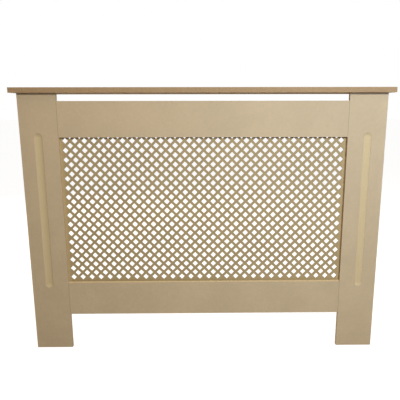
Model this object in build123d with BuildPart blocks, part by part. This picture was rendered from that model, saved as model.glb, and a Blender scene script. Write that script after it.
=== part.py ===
from build123d import *
from math import asin, degrees, radians, sqrt, tan
import os

# A flat-pack radiator cover in raw MDF: a shelf on two fluted front legs and two side panels, with a
# top and a bottom rail between the legs and a sheet perforated with diamonds behind them.
# Frame: millimetres, origin on the floor in the middle of the shelf's outline. +X is to the right
# of someone who faces the cover, +Y goes back to the wall and +Z is up.

# ---------------------------------------------------------------- driving dimensions

# Boards
leg_span = 1080.0  # across the two front legs
leg_width = 112.5
leg_height = 800.0  # floor to the underside of the shelf
front_board = 12.0  # thickness of the legs and rails
side_board = 15.0  # thickness of the side panels
shelf_board = 15.0
cover_depth = 172.5  # from the wall to the front faces of the legs
shelf_overhang = 17.5  # at the front and at both ends

# Front frame
top_rail_height = 105.0
bottom_rail_height = 105.0
heat_slot = 23.0  # open gap between the top rail and the shelf
floor_gap = 115.0  # open gap under the bottom rail

# Flutes, cut by a round-nosed cutter
flute_cutter_radius = 19.0
flute_depth = 4.2
flute_offset = 3.0  # from the leg's middle outward to the flute's
flute_top_rise = 12.5  # how far the flute's tip runs above the window
flute_bottom_drop = 16.0  # how far it runs below the window

# Perforated sheet
grille_sheet = 3.0
grille_overlap = 25.0  # mean lap over the frame, on every side
grille_raise = 9.5  # the sheet is fixed this far above the window's middle
diamond_side = 12.5
diamond_pitch = 20.1  # along the diagonals, from hole to hole
diamond_land = 28.0  # least distance from the sheet's edge to the middle of a hole

# Cut-outs for the skirting board, at the lower rear corners of the side panels
skirting_height = 120.0
skirting_depth = 20.0

# Corner battens
batten_section = 20.0
batten_end_gap = 40.0

# Dowels
fixing_flats = 8  # dowels, bolts and screws and what they go into are drawn with this many flats
hole_slack = 0.05  # radial slack of every dowel, bolt and screw hole
hole_end_gap = 0.5  # room left at a hole's bottom
thin_dowel_radius = 3.0  # in the front boards
thin_dowel_length = 30.0
rail_dowel_pitch = 60.0
dowel_radius = 4.0  # in the side panels
dowel_length = 25.0
leg_dowel_pitch = 260.0
leg_dowel_skin = 3.5  # board left in front of a dowel in a leg
shelf_dowel_pitch = 36.0
shelf_dowel_skin = 4.5

# Cam fittings that hold the shelf, two at each end
cam_setback = 24.0  # from the side panel's top edge to the cam's axis
cam_pitch = 100.0
cam_bore_radius = 7.5
cam_running_gap = 0.05
cam_floor = 2.5  # board left behind a cam
cam_end_gap = 0.3
cam_sink = 0.2  # how far the cam's face lies below the board's
cam_web = 1.4  # metal between the driver recess and the pocket for the bolt's head
cam_turn = 180.0  # degrees from locked to released
pocket_radius = 4.8  # least, to the middle of its flats
pocket_offset = 1.0  # how far the pocket is off the cam's axis
driver_length = 7.0
driver_width = 1.4
head_radius = 3.4
head_slack = 0.3
head_belly = 3.0  # length of the head's widest stretch, which the cam's axis halves
head_nose = 1.1  # length of the tapered end below it
head_nose_radius = 2.2
head_cone = 2.5  # length of the cone between it and the neck
neck_radius = 2.1
neck_slack = 0.2
bolt_shank_radius = 3.0
bolt_bore_radius = 3.5
bolt_thread_radius = 2.5
bolt_thread_length = 10.0

# Screws
screw_point = 4.0  # length of every screw's tapered point
screw_tip_radius = 0.4
countersink_angle = 82.0
corner_screw_length = 30.0
corner_screw_radius = 2.0
corner_screw_head_radius = 4.0
corner_screw_pitch = 300.0
bracket_screw_length = 12.0
bracket_screw_radius = 1.75
bracket_screw_head_radius = 3.6
bracket_screw_crown_radius = 2.4  # flat on top of the rounded head
bracket_screw_head_height = 2.0

# Wall brackets
bracket_flange = 25.0
bracket_height = 40.0
bracket_steel = 2.0
bracket_bend = 1.0  # inner radius of the bend
bracket_hole_radius = 2.25
bracket_hole_pitch = 24.0
bracket_hole_inset = 15.0  # from the bracket's outer corner to its holes
bracket_drop = 80.0  # from the shelf's underside to the bracket's middle

# Staples that hold the perforated sheet
staple_crown = 11.0
staple_leg = 9.0
staple_wire = 0.7
staple_width = 1.2
staples_per_rail = 5
staple_rail_pitch = 190.0
staples_per_leg = 3
staple_leg_pitch = 150.0
staple_edge_inset = 8.0  # from the sheet's edge to a staple

# ---------------------------------------------------------------- places that follow from them

shelf_depth = cover_depth + shelf_overhang
wall_y = shelf_depth / 2
front_y = wall_y - cover_depth
board_back_y = front_y + front_board  # back of the legs and rails
sheet_back_y = board_back_y + grille_sheet

leg_outer_x = leg_span / 2
leg_inner_x = leg_outer_x - leg_width
leg_middle_x = leg_outer_x - leg_width / 2
side_inner_x = leg_outer_x - side_board
side_middle_x = leg_outer_x - side_board / 2

bottom_rail_z = floor_gap + bottom_rail_height / 2
window_bottom_z = floor_gap + bottom_rail_height
top_rail_top_z = leg_height - heat_slot
top_rail_z = top_rail_top_z - top_rail_height / 2
window_top_z = top_rail_top_z - top_rail_height
window_width = 2 * leg_inner_x
window_height = window_top_z - window_bottom_z

sheet_width = window_width + 2 * grille_overlap
sheet_height = window_height + 2 * grille_overlap
sheet_z = (window_top_z + window_bottom_z) / 2 + grille_raise

front_face = Plane.XZ.offset(-front_y)
sheet_face = Plane.XZ.offset(-board_back_y)

LEFT, RIGHT = -1, 1
SIDES = {"left": LEFT, "right": RIGHT}
RAILS = {"top_rail": (top_rail_z, top_rail_height), "bottom_rail": (bottom_rail_z, bottom_rail_height)}


def centred_steps(count, pitch):
    """Offsets of `count` stations, `pitch` apart and centred on zero."""
    return [(step - (count - 1) / 2) * pitch for step in range(count)]


# A station is a plane that lies on the face where two pieces meet, or on the face a screw or a
# staple goes into. Its z direction points out of the mouth of the hole.

side_panel_y = (board_back_y + wall_y) / 2
bracket_z = leg_height - bracket_drop

rail_stations = {
    side: [
        Plane(
            origin=(sign * leg_inner_x, front_y + front_board / 2, rail_z + offset),
            z_dir=(-sign, 0, 0),
        )
        for rail_z, _ in RAILS.values()
        for offset in centred_steps(2, rail_dowel_pitch)
    ]
    for side, sign in SIDES.items()
}
leg_stations = {
    side: [
        Plane(origin=(sign * side_middle_x, board_back_y, leg_height / 2 + offset), z_dir=(0, 1, 0))
        for offset in centred_steps(3, leg_dowel_pitch)
    ]
    for side, sign in SIDES.items()
}
shelf_stations = {
    side: [
        Plane(origin=(sign * side_middle_x, side_panel_y + offset, leg_height), z_dir=(0, 0, 1))
        for offset in centred_steps(2, shelf_dowel_pitch)
    ]
    for side, sign in SIDES.items()
}
bolt_stations = {
    side: [
        Plane(origin=(sign * side_middle_x, side_panel_y + offset, leg_height), z_dir=(0, 0, 1))
        for offset in centred_steps(2, cam_pitch)
    ]
    for side, sign in SIDES.items()
}
cam_stations = {
    side: [
        Plane(
            origin=(sign * side_inner_x, side_panel_y + offset, leg_height - cam_setback),
            x_dir=(0, 0, 1),
            z_dir=(-sign, 0, 0),
        )
        for offset in centred_steps(2, cam_pitch)
    ]
    for side, sign in SIDES.items()
}
corner_screw_stations = {
    side: [
        Plane(
            origin=(
                sign * (side_inner_x - batten_section),
                board_back_y + batten_section / 2,
                leg_height / 2 + offset,
            ),
            z_dir=(-sign, 0, 0),
        )
        for offset in centred_steps(2, corner_screw_pitch)
    ]
    for side, sign in SIDES.items()
}
bracket_screw_stations = {
    side: [
        Plane(
            origin=(
                sign * (side_inner_x - bracket_steel),
                wall_y - bracket_hole_inset,
                bracket_z + offset,
            ),
            z_dir=(-sign, 0, 0),
        )
        for offset in centred_steps(2, bracket_hole_pitch)
    ]
    for side, sign in SIDES.items()
}
wall_screw_stations = {
    side: [
        Plane(
            origin=(
                sign * (side_inner_x - bracket_hole_inset),
                wall_y - bracket_steel,
                bracket_z + offset,
            ),
            z_dir=(0, -1, 0),
        )
        for offset in centred_steps(2, bracket_hole_pitch)
    ]
    for side, sign in SIDES.items()
}

# ---------------------------------------------------------------- shared steps


def drill(stations, radius, depth):
    """Sink a hidden hole into the open part at each station."""
    with BuildSketch(*stations) as mouths:
        RegularPolygon(radius, fixing_flats)
    extrude(mouths.sketch, amount=-depth, mode=Mode.SUBTRACT)


def drill_opposite(stations, radius, depth):
    """Sink a hidden hole into the piece that lies on the other side of each station."""
    drill([-station for station in stations], radius, depth)


def turned(foot, stretches):
    """A bolt, a screw or a stepped cutter about Z, from the height `foot` upward.

    Each stretch is its radius below, its radius above and its length.
    """
    height = foot
    with BuildPart() as fixing:
        for radius_below, radius_above, length in stretches:
            with BuildSketch(Plane.XY.offset(height)):
                RegularPolygon(radius_below, fixing_flats)
            with BuildSketch(Plane.XY.offset(height + length)):
                RegularPolygon(radius_above, fixing_flats)
            loft()
            height += length
    return fixing.part


def save(part, name):
    """Label a finished piece and write its STEP file."""
    part.label = name
    export_step(part, f"parts/{name}.step")


def both_sides(stations):
    """The stations of the left side and of the right side in one list."""
    return stations["left"] + stations["right"]


os.makedirs("parts", exist_ok=True)

dowel_hole_radius = dowel_radius + hole_slack
leg_dowel_bite = front_board - leg_dowel_skin
leg_dowel_reach = dowel_length - leg_dowel_bite + hole_end_gap
shelf_dowel_bite = shelf_board - shelf_dowel_skin
shelf_dowel_reach = dowel_length - shelf_dowel_bite + hole_end_gap
thin_hole_radius = thin_dowel_radius + hole_slack
thin_hole_depth = thin_dowel_length / 2 + hole_end_gap
bolt_hole_radius = bolt_thread_radius + hole_slack
bolt_hole_depth = bolt_thread_length + hole_end_gap
corner_hole_radius = corner_screw_radius + hole_slack
corner_hole_depth = corner_screw_length + hole_end_gap
bracket_pilot_radius = bracket_screw_radius + hole_slack
bracket_pilot_depth = bracket_screw_length + hole_end_gap
countersink_depth = (corner_screw_head_radius - corner_screw_radius) / tan(
    radians(countersink_angle / 2)
)

# ---------------------------------------------------------------- shelf

with BuildPart() as top_shelf:
    with BuildSketch(Plane.XY.offset(leg_height)):
        Rectangle(leg_span + 2 * shelf_overhang, shelf_depth)
    extrude(amount=shelf_board)
    drill_opposite(both_sides(shelf_stations), dowel_hole_radius, shelf_dowel_bite)
    drill_opposite(both_sides(bolt_stations), bolt_hole_radius, bolt_hole_depth)
save(top_shelf.part, "top_shelf")

# ---------------------------------------------------------------- fluted front legs

flute_x = leg_middle_x + flute_offset
flute_axis_y = front_y - (flute_cutter_radius - flute_depth)
flute_half_width = sqrt(flute_cutter_radius**2 - (flute_cutter_radius - flute_depth) ** 2)
flute_high_centre_z = window_top_z + flute_top_rise - flute_half_width
flute_low_centre_z = window_bottom_z - flute_bottom_drop + flute_half_width

for side, sign in SIDES.items():
    with BuildPart() as front_leg:
        with BuildSketch(front_face):
            with Locations((sign * leg_middle_x, 0)):
                Rectangle(leg_width, leg_height, align=(Align.CENTER, Align.MIN))
        extrude(amount=-front_board)
        # The cutter's path is a cylinder with a ball at each end, turned as one capsule.
        with BuildSketch(Plane.XZ.offset(-flute_axis_y)):
            with BuildLine():
                low = (sign * flute_x, flute_low_centre_z)
                high = (sign * flute_x, flute_high_centre_z)
                CenterArc(low, flute_cutter_radius, -90, 90)
                Line(
                    (low[0] + flute_cutter_radius, low[1]),
                    (high[0] + flute_cutter_radius, high[1]),
                )
                CenterArc(high, flute_cutter_radius, 0, 90)
                Line(
                    (high[0], high[1] + flute_cutter_radius),
                    (low[0], low[1] - flute_cutter_radius),
                )
            make_face()
        revolve(axis=Axis((low[0], flute_axis_y, 0), (0, 0, 1)), mode=Mode.SUBTRACT)
        drill(rail_stations[side], thin_hole_radius, thin_hole_depth)
        drill(leg_stations[side], dowel_hole_radius, leg_dowel_bite)
    save(front_leg.part, f"{side}_front_leg")

# ---------------------------------------------------------------- rails

for name, (rail_z, rail_height) in RAILS.items():
    with BuildPart() as rail:
        with BuildSketch(front_face):
            with Locations((0, rail_z)):
                Rectangle(window_width, rail_height)
        extrude(amount=-front_board)
        own_stations = [
            station
            for station in both_sides(rail_stations)
            if abs(station.origin.Z - rail_z) < rail_height / 2
        ]
        drill_opposite(own_stations, thin_hole_radius, thin_hole_depth)
    save(rail.part, name)

# ---------------------------------------------------------------- perforated sheet

# Square holes stand on their corners in staggered rows: a long row at the bottom, then a row that
# is one hole shorter, and so on up the sheet.
column_pitch = diamond_pitch * sqrt(2)
row_pitch = column_pitch / 2
columns = int((sheet_width - 2 * diamond_land) / column_pitch) + 1
rows = int((sheet_height - 2 * diamond_land) / row_pitch) + 1
first_row_z = sheet_z - (rows - 1) / 2 * row_pitch

with BuildSketch(sheet_face) as sheet_outline:
    with Locations((0, sheet_z)):
        Rectangle(sheet_width, sheet_height)
with BuildSketch(sheet_face) as diamonds:
    for row_z, holes, row_count in (
        (first_row_z, columns, rows - rows // 2),
        (first_row_z + row_pitch, columns - 1, rows // 2),
    ):
        with Locations((0, row_z)):
            with GridLocations(
                column_pitch, 2 * row_pitch, holes, row_count, align=(Align.CENTER, Align.MIN)
            ):
                Rectangle(diamond_side, diamond_side, rotation=45)
sheet_with_holes = Face(sheet_outline.sketch.wire(), diamonds.sketch.wires())
with BuildPart() as grille_panel:
    extrude(sheet_with_holes, amount=-grille_sheet, clean=False)
save(grille_panel.part, "grille_panel")

# ---------------------------------------------------------------- side panels

cam_bore_depth = side_board - cam_floor

for side, sign in SIDES.items():
    with BuildPart() as side_panel:
        with BuildSketch(Plane.YZ.offset(sign * side_middle_x)):
            with Locations((board_back_y, 0)):
                Rectangle(wall_y - board_back_y, leg_height, align=Align.MIN)
            with Locations((wall_y, 0)):
                Rectangle(
                    skirting_depth,
                    skirting_height,
                    align=(Align.MAX, Align.MIN),
                    mode=Mode.SUBTRACT,
                )
        extrude(amount=side_board / 2, both=True)
        drill_opposite(leg_stations[side], dowel_hole_radius, leg_dowel_reach)
        drill(shelf_stations[side], dowel_hole_radius, shelf_dowel_reach)
        drill(bolt_stations[side], bolt_bore_radius, cam_setback)
        with Locations(*cam_stations[side]):
            Hole(cam_bore_radius, cam_bore_depth)
        drill(corner_screw_stations[side], corner_hole_radius, corner_hole_depth)
        drill(bracket_screw_stations[side], bracket_pilot_radius, bracket_pilot_depth)
    save(side_panel.part, f"{side}_side_panel")

# ---------------------------------------------------------------- corner battens

countersunk_hole = turned(
    -batten_section,
    [
        (corner_hole_radius, corner_hole_radius, batten_section - countersink_depth),
        (corner_hole_radius, corner_screw_head_radius + hole_slack, countersink_depth),
    ],
)

for side, sign in SIDES.items():
    with BuildPart() as corner_batten:
        with BuildSketch(Plane.XY.offset(batten_end_gap)):
            with Locations((sign * (side_inner_x - batten_section / 2), board_back_y)):
                Rectangle(batten_section, batten_section, align=(Align.CENTER, Align.MIN))
        extrude(amount=leg_height - 2 * batten_end_gap)
        with Locations(*corner_screw_stations[side]):
            add(countersunk_hole, mode=Mode.SUBTRACT)
    save(corner_batten.part, f"{side}_corner_batten")

# ---------------------------------------------------------------- dowels


def dowel_group(stations, radius, length, bite):
    """Dowels that reach `bite` into the piece behind each station, with the rest in front of it."""
    with BuildPart() as group:
        with BuildSketch(*[station.offset(-bite) for station in stations]):
            RegularPolygon(radius, fixing_flats)
        extrude(amount=length)
    return group.part


rail_dowels = dowel_group(
    both_sides(rail_stations), thin_dowel_radius, thin_dowel_length, thin_dowel_length / 2
)
save(rail_dowels, "rail_dowels")

leg_dowels = dowel_group(both_sides(leg_stations), dowel_radius, dowel_length, leg_dowel_bite)
save(leg_dowels, "leg_dowels")

shelf_dowels = dowel_group(
    both_sides(shelf_stations), dowel_radius, dowel_length, dowel_length - shelf_dowel_bite
)
save(shelf_dowels, "shelf_dowels")

# ---------------------------------------------------------------- bolts and screws


def fixing_group(fixing, stations):
    """The same bolt or screw at each station, along the station's z."""
    with BuildPart() as group:
        with Locations(*stations):
            add(fixing)
    return group.part


neck_length = cam_bore_radius + cam_end_gap - head_belly / 2 - head_cone
shank_length = cam_setback - cam_bore_radius - cam_end_gap
cam_bolt = turned(
    -cam_setback - head_belly / 2 - head_nose,
    [
        (head_nose_radius, head_radius, head_nose),
        (head_radius, head_radius, head_belly),
        (head_radius, neck_radius, head_cone),
        (neck_radius, neck_radius, neck_length),
        (bolt_shank_radius, bolt_shank_radius, shank_length),
        (bolt_thread_radius, bolt_thread_radius, bolt_thread_length),
    ],
)
cam_bolts = fixing_group(cam_bolt, both_sides(bolt_stations))
save(cam_bolts, "cam_bolts")

corner_screw = turned(
    -corner_screw_length,
    [
        (screw_tip_radius, corner_screw_radius, screw_point),
        (
            corner_screw_radius,
            corner_screw_radius,
            corner_screw_length - screw_point - countersink_depth,
        ),
        (corner_screw_radius, corner_screw_head_radius, countersink_depth),
    ],
)
corner_screws = fixing_group(corner_screw, both_sides(corner_screw_stations))
save(corner_screws, "corner_screws")

bracket_screw = turned(
    -bracket_screw_length,
    [
        (screw_tip_radius, bracket_screw_radius, screw_point),
        (bracket_screw_radius, bracket_screw_radius, bracket_screw_length - screw_point),
        (bracket_screw_head_radius, bracket_screw_crown_radius, bracket_screw_head_height),
    ],
)
bracket_screws = fixing_group(bracket_screw, both_sides(bracket_screw_stations))
save(bracket_screws, "bracket_screws")

# ---------------------------------------------------------------- cams

# A cam turns on its own axis in the side panel. Its pocket is off that axis, so a half turn draws
# the bolt's head down. The neck runs in a slot in the wall of the pocket, and the head comes out
# through a window at the slot's end. The cams are drawn locked.
cam_radius = cam_bore_radius - cam_running_gap
bolt_depth = side_board / 2  # from the mouth of the cam's bore to the bolt's axis
pocket_half_length = head_radius + head_slack
slot_half_width = neck_radius + neck_slack
slot_lead = degrees(asin(head_radius / pocket_radius))  # slot past the locked neck, for the head's cone

for side, stations in cam_stations.items():
    for place, station in zip(("front", "rear"), stations):
        bolt_plane = station.offset(-bolt_depth)
        with BuildPart() as cam:
            with BuildSketch(station.offset(-cam_sink)):
                Circle(cam_radius)
            extrude(amount=-(cam_bore_depth - cam_sink - cam_end_gap))
            with BuildSketch(bolt_plane):
                with Locations((-pocket_offset, 0)):
                    RegularPolygon(
                        pocket_radius, fixing_flats, major_radius=False, rotation=180 / fixing_flats
                    )
                Rectangle(cam_bore_radius, 2 * pocket_half_length, align=(Align.MAX, Align.CENTER))
            extrude(amount=pocket_half_length, both=True, mode=Mode.SUBTRACT)
            with BuildSketch(bolt_plane):
                with BuildLine():
                    sweep_arc = CenterArc((0, 0), cam_bore_radius, -cam_turn, cam_turn + slot_lead)
                    Polyline(sweep_arc @ 1, (0, 0), sweep_arc @ 0)
                make_face()
            extrude(amount=slot_half_width, both=True, mode=Mode.SUBTRACT)
            with BuildSketch(station):
                Rectangle(driver_width, driver_length)
            extrude(amount=-(bolt_depth - pocket_half_length - cam_web), mode=Mode.SUBTRACT)
        save(cam.part, f"{side}_{place}_cam")

# ---------------------------------------------------------------- wall brackets

for side, sign in SIDES.items():
    toward_middle = Align.MAX if sign == RIGHT else Align.MIN
    with BuildPart() as wall_bracket:
        with BuildSketch(Plane.XY.offset(bracket_z)) as angle_section:
            with Locations((sign * side_inner_x, wall_y)):
                Rectangle(bracket_steel, bracket_flange, align=(toward_middle, Align.MAX))
                Rectangle(bracket_flange, bracket_steel, align=(toward_middle, Align.MAX))
            corners = angle_section.vertices()
            outer_corner = (sign * side_inner_x, wall_y, bracket_z)
            inner_corner = (
                sign * (side_inner_x - bracket_steel),
                wall_y - bracket_steel,
                bracket_z,
            )
            fillet(corners.sort_by_distance(outer_corner)[0], bracket_bend + bracket_steel)
            fillet(corners.sort_by_distance(inner_corner)[0], bracket_bend)
        extrude(amount=bracket_height / 2, both=True)
        drill(bracket_screw_stations[side], bracket_hole_radius, bracket_steel)
        with Locations(*wall_screw_stations[side]):
            Hole(bracket_hole_radius, bracket_steel)
    save(wall_bracket.part, f"{side}_wall_bracket")

# ---------------------------------------------------------------- staples

with BuildPart() as staple:
    with BuildSketch(Plane.XZ):
        Rectangle(staple_crown, staple_wire, align=(Align.CENTER, Align.MIN))
        with GridLocations(staple_crown - staple_wire, 1, 2, 1):
            Rectangle(staple_wire, staple_leg, align=(Align.CENTER, Align.MAX))
    extrude(amount=staple_width / 2, both=True)

rail_staple_rise = sheet_height / 2 - staple_edge_inset
leg_staple_reach = sheet_width / 2 - staple_edge_inset
staple_stations = [
    Plane(origin=(offset, sheet_back_y, sheet_z + rise), x_dir=(1, 0, 0), z_dir=(0, 1, 0))
    for rise in (-rail_staple_rise, rail_staple_rise)
    for offset in centred_steps(staples_per_rail, staple_rail_pitch)
] + [
    Plane(origin=(reach, sheet_back_y, sheet_z + offset), x_dir=(0, 0, 1), z_dir=(0, 1, 0))
    for reach in (-leg_staple_reach, leg_staple_reach)
    for offset in centred_steps(staples_per_leg, staple_leg_pitch)
]

with BuildPart() as grille_staples:
    with Locations(*staple_stations):
        add(staple.part)
save(grille_staples.part, "grille_staples")
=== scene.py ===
from math import cos, pi, radians, sin

import bmesh
import bpy
from mathutils import Matrix, Vector


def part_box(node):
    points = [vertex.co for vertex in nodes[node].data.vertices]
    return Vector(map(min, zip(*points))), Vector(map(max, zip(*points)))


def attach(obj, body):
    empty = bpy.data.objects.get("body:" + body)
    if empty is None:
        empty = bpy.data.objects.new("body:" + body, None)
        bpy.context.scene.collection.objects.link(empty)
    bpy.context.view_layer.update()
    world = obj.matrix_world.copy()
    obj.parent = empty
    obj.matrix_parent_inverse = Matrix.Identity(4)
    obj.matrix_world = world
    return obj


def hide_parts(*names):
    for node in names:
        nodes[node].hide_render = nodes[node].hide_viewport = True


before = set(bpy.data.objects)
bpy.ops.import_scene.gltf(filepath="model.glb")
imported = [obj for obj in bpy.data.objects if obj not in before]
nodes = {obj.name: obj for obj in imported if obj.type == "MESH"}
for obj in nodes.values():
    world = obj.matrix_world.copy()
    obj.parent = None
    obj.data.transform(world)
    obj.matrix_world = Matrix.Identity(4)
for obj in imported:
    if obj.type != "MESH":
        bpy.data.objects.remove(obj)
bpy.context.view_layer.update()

# A flat-pack radiator cover in raw MDF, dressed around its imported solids. Metres throughout.

MM = 0.001
SQUARE = ((-1, -1), (1, -1), (1, 1), (-1, 1))  # corners in turn
scene = bpy.context.scene

# ---------------------------------------------------------------- places taken from the frame

leg_low, leg_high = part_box("right_front_leg")
front_y = leg_low.y
board_back_y = leg_high.y

rail_low, rail_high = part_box("top_rail")
rail_height = rail_high.z - rail_low.z
window_half_width = rail_high.x
window_high_z = rail_low.z
window_low_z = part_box("bottom_rail")[1].z
window_middle_z = (window_high_z + window_low_z) / 2
window_half_height = window_high_z - window_middle_z

# ---------------------------------------------------------------- colours, as 8-bit sRGB

BOARD_FACE = (200, 181, 149)
BOARD_EDGE = (170, 142, 106)
# The legs' sawn edges are painted paler than the shelf's and side panels': painted light for the light
# that falls on the legs' inner edges beside the window.
LEG_EDGE_PAINTED_LIGHT = (207, 182, 144)
# The rails' sawn edges are painted much paler still: a painted highlight for the light from above on
# the bottom rail's top edge.
RAIL_EDGE_PAINTED_HIGHLIGHT = (247, 223, 178)
JOINT_SHADOW = (60, 44, 30)
HARDBOARD = (173, 154, 114)
HARDBOARD_EDGE = (129, 106, 74)
PINE_EARLY, PINE_LATE = (222, 188, 138), (196, 150, 96)
PINE_PALE, PINE_PORE = (230, 203, 160), (160, 118, 74)
BEECH_PALE, BEECH_RAY = (214, 170, 124), (176, 126, 82)
PLATED_STEEL = (190, 192, 196)
ZINC_CASTING = (172, 174, 176)
GALVANISED_WIRE = (196, 198, 200)


def linear(colour):
    """A colour picked as 8-bit sRGB, as the linear RGBA that shaders take."""
    channels = [value / 255 for value in colour]
    return [c / 12.92 if c <= 0.04045 else ((c + 0.055) / 1.055) ** 2.4 for c in channels] + [1.0]


def toned(colour, *shares):
    """As `linear`, with every channel taken up or down by one share, or each by its own."""
    return linear([value * share for value, share in zip(colour, shares * 3)])


# ---------------------------------------------------------------- materials

PIECE_SHIFT = (7.3, 4.1, 5.7)  # moves the noise by up to this much from piece to piece
MIX_FIRST, MIX_SECOND, MIX_RESULT = 6, 7, 2  # where a Mix node has its colours among its sockets


class Finish:
    """A material and the few kinds of node that the finishes below are made of."""

    def __init__(self, name, roughness, metallic=0.0):
        self.material = bpy.data.materials.new(name)
        self.material.use_nodes = True
        self.tree = self.material.node_tree
        self.surface = self.tree.nodes["Principled BSDF"]
        self.surface.inputs["Roughness"].default_value = roughness
        self.surface.inputs["Metallic"].default_value = metallic
        coordinates = self.add("ShaderNodeTexCoord")
        self.place = coordinates.outputs["Object"]
        self.facing = coordinates.outputs["Normal"]

    def add(self, kind, **settings):
        node = self.tree.nodes.new(kind)
        for name, value in settings.items():
            setattr(node, name, value)
        return node

    def join(self, source, socket):
        """Link a node's output to a socket, or set the socket to a plain value."""
        if isinstance(source, bpy.types.NodeSocket):
            self.tree.links.new(source, socket)
        else:
            socket.default_value = source

    def math(self, operation, first, second=0.0):
        node = self.add("ShaderNodeMath", operation=operation)
        self.join(first, node.inputs[0])
        self.join(second, node.inputs[1])
        return node.outputs[0]

    def distance(self, value, middle):
        """How far `value` is from `middle`, on either side."""
        return self.math("ABSOLUTE", self.math("SUBTRACT", value, middle))

    def blended(self, first, share, second):
        """A share of the first value and the rest of the second."""
        return self.math(
            "ADD", self.math("MULTIPLY", first, share), self.math("MULTIPLY", second, 1 - share)
        )

    def span(self, value, low, high, out_low=0.0, out_high=1.0):
        """`value` taken from low..high to out_low..out_high, smoothly and held at both ends."""
        node = self.add("ShaderNodeMapRange", interpolation_type="SMOOTHSTEP")
        for socket, number in zip(node.inputs, (value, low, high, out_low, out_high)):
            self.join(number, socket)
        return node.outputs[0]

    def point(self, scale=(1, 1, 1)):
        """The place on the piece, moved for each piece so that no two boards look alike."""
        piece = self.add("ShaderNodeObjectInfo")
        shift = self.add("ShaderNodeVectorMath", operation="MULTIPLY_ADD")
        self.join(piece.outputs["Random"], shift.inputs[0])
        self.join(PIECE_SHIFT, shift.inputs[1])
        self.join(self.place, shift.inputs[2])
        stretch = self.add("ShaderNodeVectorMath", operation="MULTIPLY")
        self.join(shift.outputs[0], stretch.inputs[0])
        self.join(scale, stretch.inputs[1])
        return stretch.outputs[0]

    def noise(self, size, detail, roughness=0.55, scale=(1, 1, 1)):
        """Noise whose features are about `size` metres across, from 0 to 1."""
        node = self.add("ShaderNodeTexNoise")
        self.join(self.point(scale), node.inputs["Vector"])
        self.join(1 / size, node.inputs["Scale"])
        self.join(detail, node.inputs["Detail"])
        self.join(roughness, node.inputs["Roughness"])
        return node.outputs["Fac"]

    def mix(self, share, first, second, blend="MIX"):
        node = self.add("ShaderNodeMix", data_type="RGBA", blend_type=blend)
        self.join(share, node.inputs[0])
        self.join(first, node.inputs[MIX_FIRST])
        self.join(second, node.inputs[MIX_SECOND])
        return node.outputs[MIX_RESULT]

    def scaled(self, colour, factor):
        """A colour times a factor."""
        return self.mix(1.0, colour, factor, "MULTIPLY")

    def along(self, vector, axis):
        """One coordinate of a vector."""
        node = self.add("ShaderNodeSeparateXYZ")
        self.join(vector, node.inputs[0])
        return node.outputs["XYZ".index(axis)]

    def direction(self, x, y, z):
        """A vector one long from its coordinates."""
        node = self.add("ShaderNodeCombineXYZ")
        for value, socket in zip((x, y, z), node.inputs):
            self.join(value, socket)
        unit = self.add("ShaderNodeVectorMath", operation="NORMALIZE")
        self.join(node.outputs[0], unit.inputs[0])
        return unit.outputs[0]

    def bump(self, height, distance, strength, normal=None):
        node = self.add("ShaderNodeBump")
        self.join(height, node.inputs["Height"])
        self.join(distance, node.inputs["Distance"])
        self.join(strength, node.inputs["Strength"])
        if normal is not None:
            self.join(normal, node.inputs["Normal"])
        return node.outputs[0]

    def finish(self, colour, roughness, normal):
        """Join the three to the surface and hand over the material."""
        for name, value in (("Base Color", colour), ("Roughness", roughness), ("Normal", normal)):
            self.join(value, self.surface.inputs[name])
        return self.material


def drawn_out(axis, share):
    """A scale that draws noise out along one axis."""
    return tuple(share if letter == axis else 1 for letter in "XYZ")


CLOUDS, MOTTLE, SPECKS, FIBRES = 0.11, 0.012, 0.0035, 0.0011  # sizes of what raw MDF shows
ARRIS = 0.5 * MM
CRACK_CORE, CRACK_END = 0.25 * MM, 0.8 * MM  # a crack is darkest up to the one, gone at the other
CRACK_SHARE = 0.46
CRACK_FADE = 0.3 * MM  # at the rails' upper and lower edges


def joint_lines(finish, colour):
    """Darken the fine cracks where the ends of the rails butt against the legs."""
    off_middle = finish.math("ABSOLUTE", finish.along(finish.place, "X"))
    off_joint = finish.distance(off_middle, window_half_width)
    off_window_middle = finish.distance(finish.along(finish.place, "Z"), window_middle_z)
    off_rail_middle = finish.distance(off_window_middle, window_half_height + rail_height / 2)
    half_rail = rail_height / 2
    beside_rail = finish.span(off_rail_middle, half_rail - CRACK_FADE, half_rail, 1.0, 0.0)
    line = finish.span(off_joint, CRACK_CORE, CRACK_END, CRACK_SHARE, 0.0)
    return finish.mix(finish.math("MULTIPLY", line, beside_rail), colour, linear(JOINT_SHADOW))


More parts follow.
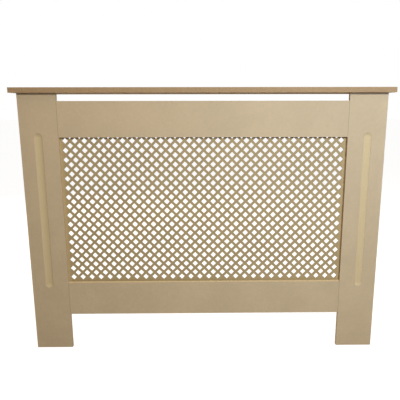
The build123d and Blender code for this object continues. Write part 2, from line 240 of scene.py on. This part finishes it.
def sheet_margins_and_painted_shade(finish, colour):
    """Shade the plain margins of the perforated sheet.

    Those at the sides are paler. On its front the sheet has a painted shadow where it goes behind the
    top rail and a little painted shade just above the bottom rail.
    """
    # The side tone makes the side margins paler; the top and low tones are painted shadow under the top
    # rail and painted shade above the bottom rail.
    side_tone, painted_shadow_tone, painted_low_shade_tone = 1.14, 0.4, 0.86
    side_start, side_full = window_half_width - 12 * MM, window_half_width - 4 * MM
    top_start, top_full = window_high_z - 3.6 * MM, window_high_z - 2.4 * MM
    low_full, low_end = window_low_z + 5 * MM, window_low_z + 9 * MM
    front_full, front_end = board_back_y + 0.5 * MM, board_back_y + 1.5 * MM

    off_middle = finish.math("ABSOLUTE", finish.along(finish.place, "X"))
    beside_holes = finish.span(off_middle, side_start, side_full, 1.0, side_tone)
    up = finish.along(finish.place, "Z")
    # Painted shadow just under the top rail and painted shade just above the bottom rail, on the
    # sheet's front only.
    painted_shadow_under_top_rail = finish.span(up, top_start, top_full, 1.0, painted_shadow_tone)
    painted_shade_over_bottom_rail = finish.span(up, low_full, low_end, painted_low_shade_tone, 1.0)
    painted_rail_shade = finish.math("MULTIPLY", painted_shadow_under_top_rail, painted_shade_over_bottom_rail)
    back = finish.along(finish.place, "Y")
    painted_shade_on_front = finish.span(back, front_full, front_end, painted_rail_shade, 1.0)
    return finish.scaled(finish.scaled(colour, beside_holes), painted_shade_on_front)


def routed_share(finish):
    """1 in a leg's flute and 0 on the rest of the leg."""
    depth = finish.math("SUBTRACT", finish.along(finish.place, "Y"), front_y)
    below_face = finish.span(depth, 0.2 * MM, 1.2 * MM)
    faces_front = finish.span(finish.along(finish.facing, "Y"), -0.2, -0.1, 1.0, 0.0)
    return finish.math("MULTIPLY", below_face, faces_front)


def fuzzy_core(finish, face, fibre):
    """The paler and coarser inside of the board, laid open by the router."""
    dark, pale = toned(face, 0.98, 0.98, 0.94), toned(face, 1.08, 1.09, 1.03)
    return finish.mix(finish.span(fibre, 0.3, 0.7), dark, pale)


def flattened(finish, normal, routed):
    """A normal whose slope across the flute is cut down where the board is routed.

    The fuzzy core scatters light across the flute almost as a flat face would.
    """
    x, y, z = (finish.along(normal, axis) for axis in "XYZ")
    slope_left = finish.span(routed, 0.0, 1.0, 1.0, 0.45)
    return finish.direction(finish.math("MULTIPLY", x, slope_left), y, z)


def mdf(name, face, edge, thickness_axis, butted=False, fluted=False, perforated=False):
    """Raw MDF: a calendered face and a coarser sawn edge."""
    finish = Finish(name, roughness=0.8)
    cloud = finish.noise(CLOUDS, detail=2.0)
    mottle = finish.noise(MOTTLE, detail=4.0, roughness=0.6)
    fibre = finish.noise(FIBRES, detail=3.0, roughness=0.7)
    speck = finish.noise(SPECKS, detail=2.0, roughness=0.5)
    grit = finish.span(fibre, 0.25, 0.75, 0.9, 1.08)

    colour = finish.mix(finish.span(cloud, 0.35, 0.65), toned(face, 0.985), toned(face, 1.01))
    colour = finish.scaled(colour, finish.span(mottle, 0.3, 0.7, 0.97, 1.02))
    colour = finish.scaled(colour, grit)
    flecks = finish.span(speck, 0.66, 0.78, 0.0, 0.35)
    colour = finish.mix(flecks, colour, toned(face, 0.72))

    saw_marks = finish.noise(FIBRES, detail=2.0, scale=drawn_out(thickness_axis, 0.15))
    saw_marks = finish.span(saw_marks, 0.3, 0.7)
    sawn_colour = finish.scaled(finish.mix(saw_marks, toned(edge, 0.955), toned(edge, 1.03)), grit)
    squareness = finish.math("ABSOLUTE", finish.along(finish.facing, thickness_axis))
    sawn = finish.span(squareness, 0.5, 0.95, 1.0, 0.0)
    colour = finish.mix(sawn, colour, sawn_colour)

    arris = finish.add("ShaderNodeBevel", samples=4)
    finish.join(ARRIS, arris.inputs["Radius"])
    normal = arris.outputs[0]

    if butted:
        colour = joint_lines(finish, colour)
    if perforated:
        # Paler side margins, and painted shade on the sheet's front next to the rails.
        colour = sheet_margins_and_painted_shade(finish, colour)
    if fluted:
        routed = routed_share(finish)
        colour = finish.mix(routed, colour, fuzzy_core(finish, face, fibre))
        normal = flattened(finish, normal, routed)

    height = finish.blended(fibre, 0.6, speck)
    rough = finish.span(mottle, 0.3, 0.7, 0.74, 0.86)
    return finish.finish(colour, rough, finish.bump(height, 0.12 * MM, 0.5, normal))


def softwood():
    """Planed pine: growth rings stretched along the batten."""
    finish = Finish("planed_softwood", roughness=0.55)
    wander = finish.noise(0.05, detail=2.0, scale=drawn_out("Z", 0.12))
    rings = finish.noise(0.0035, detail=2.5, scale=drawn_out("Z", 0.02))
    pores = finish.noise(0.0007, detail=2.0, scale=drawn_out("Z", 0.04))
    colour = finish.mix(finish.span(rings, 0.35, 0.65), linear(PINE_EARLY), linear(PINE_LATE))
    colour = finish.mix(finish.span(wander, 0.4, 0.7, 0.0, 0.5), colour, linear(PINE_PALE))
    colour = finish.mix(finish.span(pores, 0.6, 0.8, 0.0, 0.4), colour, linear(PINE_PORE))
    height = finish.blended(rings, 0.7, pores)
    rough = finish.span(rings, 0.3, 0.7, 0.48, 0.62)
    return finish.finish(colour, rough, finish.bump(height, 0.1 * MM, 0.5))


def beech():
    """Turned beech with short dark rays."""
    finish = Finish("turned_beech", roughness=0.55)
    rays = finish.noise(0.0012, detail=2.0, scale=drawn_out("Z", 0.15))
    colour = finish.mix(finish.span(rays, 0.35, 0.7), linear(BEECH_PALE), linear(BEECH_RAY))
    return finish.finish(colour, 0.55, finish.bump(rays, 0.05 * MM, 0.5))


def zinc(name, colour, roughness, grain):
    """Zinc: a plated or cast surface with a faint crystalline mottle and dull patches."""
    finish = Finish(name, roughness=roughness, metallic=1.0)
    crystals = finish.add("ShaderNodeTexVoronoi")
    finish.join(finish.point(), crystals.inputs["Vector"])
    finish.join(1 / grain, crystals.inputs["Scale"])
    patches = finish.noise(6 * grain, detail=3.0)
    spread = finish.span(crystals.outputs["Distance"], 0.0, 0.8, 0.92, 1.04)
    tone = finish.scaled(linear(colour), spread)
    tone = finish.mix(finish.span(patches, 0.45, 0.7, 0.0, 0.3), tone, toned(colour, 0.8))
    rough = finish.span(patches, 0.3, 0.7, roughness - 0.06, roughness + 0.12)
    return finish.finish(tone, rough, finish.bump(patches, 0.02 * MM, 0.4))


finishes = {
    "top_shelf": mdf("mdf_shelf_board", BOARD_FACE, BOARD_EDGE, "Z"),
    # The legs' edges carry painted light.
    "left_front_leg": mdf("mdf_leg_board", BOARD_FACE, LEG_EDGE_PAINTED_LIGHT, "Y", butted=True, fluted=True),
    # The rails' edges carry a painted highlight.
    "top_rail": mdf("mdf_rail_board", BOARD_FACE, RAIL_EDGE_PAINTED_HIGHLIGHT, "Y", butted=True),
    # The perforated sheet carries painted shade on its front next to the rails.
    "grille_panel": mdf("perforated_hardboard", HARDBOARD, HARDBOARD_EDGE, "Y", perforated=True),
    "left_side_panel": mdf("mdf_side_board", BOARD_FACE, BOARD_EDGE, "X"),
    "left_corner_batten": softwood(),
    "rail_dowels": beech(),
    "cam_bolts": zinc("zinc_plated_steel", PLATED_STEEL, roughness=0.32, grain=0.004),
    "left_front_cam": zinc("zinc_casting", ZINC_CASTING, roughness=0.45, grain=0.0015),
    "grille_staples": zinc("galvanised_wire", GALVANISED_WIRE, roughness=0.38, grain=0.002),
}
same_finish = {
    "right_front_leg": "left_front_leg",
    "bottom_rail": "top_rail",
    "right_side_panel": "left_side_panel",
    "right_corner_batten": "left_corner_batten",
    "leg_dowels": "rail_dowels",
    "shelf_dowels": "rail_dowels",
    "corner_screws": "cam_bolts",
    "bracket_screws": "cam_bolts",
    "left_wall_bracket": "cam_bolts",
    "right_wall_bracket": "cam_bolts",
    "left_rear_cam": "left_front_cam",
    "right_front_cam": "left_front_cam",
    "right_rear_cam": "left_front_cam",
}
for name, piece in nodes.items():
    piece.data.materials.clear()
    piece.data.materials.append(finishes[same_finish.get(name, name)])

# ---------------------------------------------------------------- screws

SCREW_NECK = 3 * MM  # plain shank between the head and the thread
SCREW_STEP = 0.5 * MM  # from the shank down to the core
SCREW_POINT = 5 * MM  # tapered end
THREAD_STOP = 2.5 * MM  # from the thread's end to the tip
THREAD_ROOT = 0.85  # of the core's radius, so that the ridge's foot lies inside the core
SHARP_ANGLE = radians(35)  # edges sharper than this aren't smoothed
SCREW_SPIN = 70  # radians of turn for each metre of height, so that the recesses don't line up
MEETING = 0.001 * MM  # corners closer than this are one corner


def loose_solids(name):
    """Lowest and highest corner of each solid in a node that holds several, in the mesh's order."""
    mesh = bmesh.new()
    mesh.from_mesh(nodes[name].data)
    bmesh.ops.remove_doubles(mesh, verts=mesh.verts, dist=MEETING)
    reached = set()
    boxes = []
    for start in mesh.verts:
        if start in reached:
            continue
        reached.add(start)
        solid = [start]
        for vertex in solid:  # the list grows while it is walked
            for edge in vertex.link_edges:
                neighbour = edge.other_vert(vertex)
                if neighbour not in reached:
                    reached.add(neighbour)
                    solid.append(neighbour)
        along = list(zip(*(vertex.co for vertex in solid)))
        boxes.append((Vector(map(min, along)), Vector(map(max, along))))
    mesh.free()
    return boxes


def ring(mesh, radius, height, count):
    """Points round the Z axis, or a single one on it."""
    if radius == 0:
        return [mesh.verts.new((0, 0, height))]
    turns = [2 * pi * step / count for step in range(count)]
    return [mesh.verts.new((radius * cos(turn), radius * sin(turn), height)) for turn in turns]


def turn_solid(mesh, profile, count=32):
    """Add a lathe-turned solid. The profile's (radius, height) pairs start and end on the axis."""
    rings = [ring(mesh, radius, height, count) for radius, height in profile]
    for upper, lower in zip(rings, rings[1:]):
        for step in range(count):
            after = (step + 1) % count
            corners = (
                upper[step % len(upper)],
                lower[step % len(lower)],
                lower[after % len(lower)],
                upper[after % len(upper)],
            )
            mesh.faces.new(list(dict.fromkeys(corners)))


def wind_thread(mesh, top, bottom, pitch, root, crest, count=16):
    """Add a helical ridge whose foot lies inside the screw's core.

    It rises over its first turn and dies away over its last.
    """
    steps = int((top - bottom) / pitch * count)
    half_foot = 0.3 * pitch
    section = None
    for step in range(steps + 1):
        turn = 2 * pi * step / count
        height = top - pitch * step / count
        rise = min(1, step / count, (steps - step) / count)
        ridge = root + (crest - root) * rise
        profile = ((root, height + half_foot), (ridge, height), (root, height - half_foot))
        before = section
        section = [mesh.verts.new((radius * cos(turn), radius * sin(turn), z)) for radius, z in profile]
        if before is None:
            mesh.faces.new(section)
            continue
        for side in range(3):
            after = (side + 1) % 3
            mesh.faces.new((before[side], section[side], section[after], before[after]))
    mesh.faces.new(section[::-1])


def solid_object(name, mesh):
    """An object made from a bmesh, with its faces turned outward."""
    bmesh.ops.recalc_face_normals(mesh, faces=mesh.faces)
    data = bpy.data.meshes.new(name)
    mesh.to_mesh(data)
    mesh.free()
    piece = bpy.data.objects.new(name, data)
    scene.collection.objects.link(piece)
    return piece


def cut_cross(screw, half_length, half_width, depth):
    """Cut a tapered cross recess for the driver into a screw whose head's top is at height 0."""
    mouth = (0.3 * MM, 1.05)  # height and share of the full size
    bottom = (-depth, 0.4)
    for length, width in ((half_length, half_width), (half_width, half_length)):
        mesh = bmesh.new()
        for height, share in (mouth, bottom):
            reach_x, reach_y = max(length * share, half_width), max(width * share, half_width)
            for x, y in SQUARE:
                mesh.verts.new((x * reach_x, y * reach_y, height))
        bmesh.ops.convex_hull(mesh, input=mesh.verts)
        blade = solid_object("driver_blade", mesh)
        cut = screw.modifiers.new("recess", "BOOLEAN")
        cut.object = blade
        bpy.context.view_layer.update()
        evaluated = screw.evaluated_get(bpy.context.evaluated_depsgraph_get())
        cut_mesh = bpy.data.meshes.new_from_object(evaluated)
        screw.modifiers.clear()
        screw.data = cut_mesh
        bpy.data.objects.remove(blade)


def screws(node, head, shank, core, pitch, recess):
    """Screws with a cross recess and a thread, in place of a node's plain ones, heads to the middle."""
    boxes = loose_solids(node)
    length = boxes[0][1].x - boxes[0][0].x
    shank_end = head[-1][1] - SCREW_NECK
    below_head = [
        (shank, shank_end),
        (core, shank_end - SCREW_STEP),
        (core, -length + SCREW_POINT),
        (0, -length),
    ]
    mesh = bmesh.new()
    turn_solid(mesh, head + below_head)
    pattern = solid_object(node + "_pattern", mesh)
    cut_cross(pattern, *recess)
    mesh = bmesh.new()
    for low, high in boxes:
        side = 1 if low.x > 0 else -1
        seat = Vector((low.x if side > 0 else high.x, (low.y + high.y) / 2, (low.z + high.z) / 2))
        one = bmesh.new()
        one.from_mesh(pattern.data)
        wind_thread(one, shank_end, -length + THREAD_STOP, pitch, THREAD_ROOT * core, shank)
        laid = Matrix.Translation(seat) @ Matrix.Rotation(-side * pi / 2, 4, "Y")
        spun = Matrix.Rotation(high.z * SCREW_SPIN, 4, "Z")
        bmesh.ops.transform(one, matrix=laid @ spun, verts=one.verts)
        placed = bpy.data.meshes.new("placed")
        one.to_mesh(placed)
        one.free()
        mesh.from_mesh(placed)
        bpy.data.meshes.remove(placed)
    bpy.data.objects.remove(pattern)
    piece = solid_object("detailed_" + node, mesh)
    piece.data.materials.append(finishes["cam_bolts"])
    piece.data.shade_smooth()
    piece.data.set_sharp_from_angle(angle=SHARP_ANGLE)
    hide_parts(node)
    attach(piece, "cabinet")


def in_metres(profile):
    """(Radius, height) pairs given in millimetres."""
    return [(radius * MM, height * MM) for radius, height in profile]


screws(
    "corner_screws",
    head=in_metres([(0, -0.05), (3.55, -0.05), (3.72, -0.2), (3.72, -0.45), (2.0, -2.5)]),
    shank=2.0 * MM,
    core=1.35 * MM,
    pitch=1.8 * MM,
    recess=(2.3 * MM, 0.5 * MM, 1.9 * MM),  # half its length, half its width and its depth
)
screws(
    "bracket_screws",
    head=in_metres(
        [(0, 0), (1.4, -0.07), (2.4, -0.32), (3.1, -0.75), (3.5, -1.3), (3.6, -2.0), (1.75, -2.0)]
    ),
    shank=1.75 * MM,
    core=1.2 * MM,
    pitch=1.4 * MM,
    recess=(2.1 * MM, 0.5 * MM, 1.7 * MM),
)

# ---------------------------------------------------------------- floor and background

WHITE = (1, 1, 1, 1)
PAPER = (0.32, 0.27, 0.22, 1)
PAPER_LIFT = 0.96
HALF_FLOOR = 30.0
FLOOR_DROP = 0.2 * MM  # so that the feet don't share the floor's plane


def seen_share(tree):
    """1 on rays that show the background, straight or in metal or glass, and 0 on rays that light."""
    path = tree.nodes.new("ShaderNodeLightPath")
    share = path.outputs["Is Camera Ray"]
    for ray in ("Is Glossy Ray", "Is Transmission Ray"):
        either = tree.nodes.new("ShaderNodeMath")
        either.operation = "MAXIMUM"
        tree.links.new(share, either.inputs[0])
        tree.links.new(path.outputs[ray], either.inputs[1])
        share = either.outputs[0]
    return share


def paper():
    """Studio paper. What the camera sees of it is lifted to white, apart from the shadow."""
    material = bpy.data.materials.new("studio_paper")
    material.use_nodes = True
    tree = material.node_tree
    surface = tree.nodes["Principled BSDF"]
    surface.inputs["Base Color"].default_value = PAPER
    surface.inputs["Roughness"].default_value = 1.0
    surface.inputs["Specular IOR Level"].default_value = 0.0
    lift = tree.nodes.new("ShaderNodeMath")
    lift.operation = "MULTIPLY"
    tree.links.new(seen_share(tree), lift.inputs[0])
    lift.inputs[1].default_value = PAPER_LIFT
    tree.links.new(lift.outputs[0], surface.inputs["Emission Strength"])
    surface.inputs["Emission Color"].default_value = WHITE
    return material


floor_mesh = bpy.data.meshes.new("floor")
floor_mesh.from_pydata([(HALF_FLOOR * x, HALF_FLOOR * y, 0) for x, y in SQUARE], [], [(0, 1, 2, 3)])
floor = bpy.data.objects.new("floor", floor_mesh)
floor.location.z = -FLOOR_DROP
scene.collection.objects.link(floor)
floor.data.materials.append(paper())

# ---------------------------------------------------------------- light

ROOM_STRENGTH = 0.07  # of the surroundings as they light the cover
ROOM_TINT = (1.0, 0.88, 0.7, 1)
SIDE_TINT = (1.0, 0.95, 0.88)


def surroundings():
    """A dim warm room that the camera sees as plain white."""
    world = bpy.data.worlds.new("studio")
    world.use_nodes = True
    tree = world.node_tree
    background = tree.nodes["Background"]
    white_seen = seen_share(tree)
    strength = tree.nodes.new("ShaderNodeMapRange")
    tree.links.new(white_seen, strength.inputs[0])
    strength.inputs["To Min"].default_value = ROOM_STRENGTH
    strength.inputs["To Max"].default_value = 1.0
    tree.links.new(strength.outputs[0], background.inputs["Strength"])
    tint = tree.nodes.new("ShaderNodeMix")
    tint.data_type = "RGBA"
    tree.links.new(white_seen, tint.inputs[0])
    tint.inputs[MIX_FIRST].default_value = ROOM_TINT
    tint.inputs[MIX_SECOND].default_value = WHITE
    tree.links.new(tint.outputs[MIX_RESULT], background.inputs["Color"])
    return world


def softbox(name, place, target, side, watts, tint):
    """A square lamp at `place` that faces `target`."""
    lamp = bpy.data.lights.new(name, "AREA")
    lamp.shape = "SQUARE"
    lamp.size = side
    lamp.energy = watts
    lamp.color = tint
    box = bpy.data.objects.new(name, lamp)
    box.location = place
    box.rotation_euler = (Vector(target) - Vector(place)).to_track_quat("-Z", "Y").to_euler()
    scene.collection.objects.link(box)


scene.world = surroundings()
softbox("key_light", (0.6, -1.96, 1.4), (0.1, 0, 0.5), side=0.3, watts=29.5, tint=(1.0, 0.875, 0.68))
softbox("near_light", (0.6, -1.2, 1.05), (0.25, 0, 0.6), side=0.5, watts=8, tint=(0.3, 0.58, 1.0))
softbox("high_light", (0.2, -1.5, 2.7), (0.0, 0, 0.4), side=1.2, watts=8, tint=(1.0, 0.76, 0.45))
softbox("back_light", (-0.9, 2.3, 1.5), (0, 0.1, 0.4), side=1.2, watts=38, tint=SIDE_TINT)
softbox("left_light", (-2.0, 0.35, 1.2), (-0.5, 0.05, 0.4), side=0.9, watts=9, tint=SIDE_TINT)
softbox("right_light", (2.0, 0.35, 1.2), (0.5, 0.05, 0.4), side=0.9, watts=11, tint=SIDE_TINT)

# ---------------------------------------------------------------- camera

camera_place = Vector((7.8, -1502.8, 757.6)) * MM
camera_turn = radians(-0.72)  # from straight along +Y, positive towards -X
camera_tilt = radians(12.33)  # down
camera_roll = radians(0.1)
focal_length = 42.98  # in millimetres, as is the sensor's width
sensor_width = 36.0
camera_shift = (-0.031, 0.03)  # in widths of the picture

forward = Vector(
    (-sin(camera_turn) * cos(camera_tilt), cos(camera_turn) * cos(camera_tilt), -sin(camera_tilt))
)
level_right = forward.cross(Vector((0, 0, 1))).normalized()
level_up = level_right.cross(forward)
right = level_right * cos(camera_roll) - level_up * sin(camera_roll)
up = level_right * sin(camera_roll) + level_up * cos(camera_roll)

lens = bpy.data.cameras.new("camera")
lens.lens = focal_length
lens.sensor_width = sensor_width
lens.shift_x, lens.shift_y = camera_shift
camera = bpy.data.objects.new("camera", lens)
turned = Matrix((right, up, -forward)).transposed().to_4x4()
camera.matrix_world = Matrix.Translation(camera_place) @ turned
scene.collection.objects.link(camera)
scene.camera = camera

scene.view_settings.view_transform = "Standard"
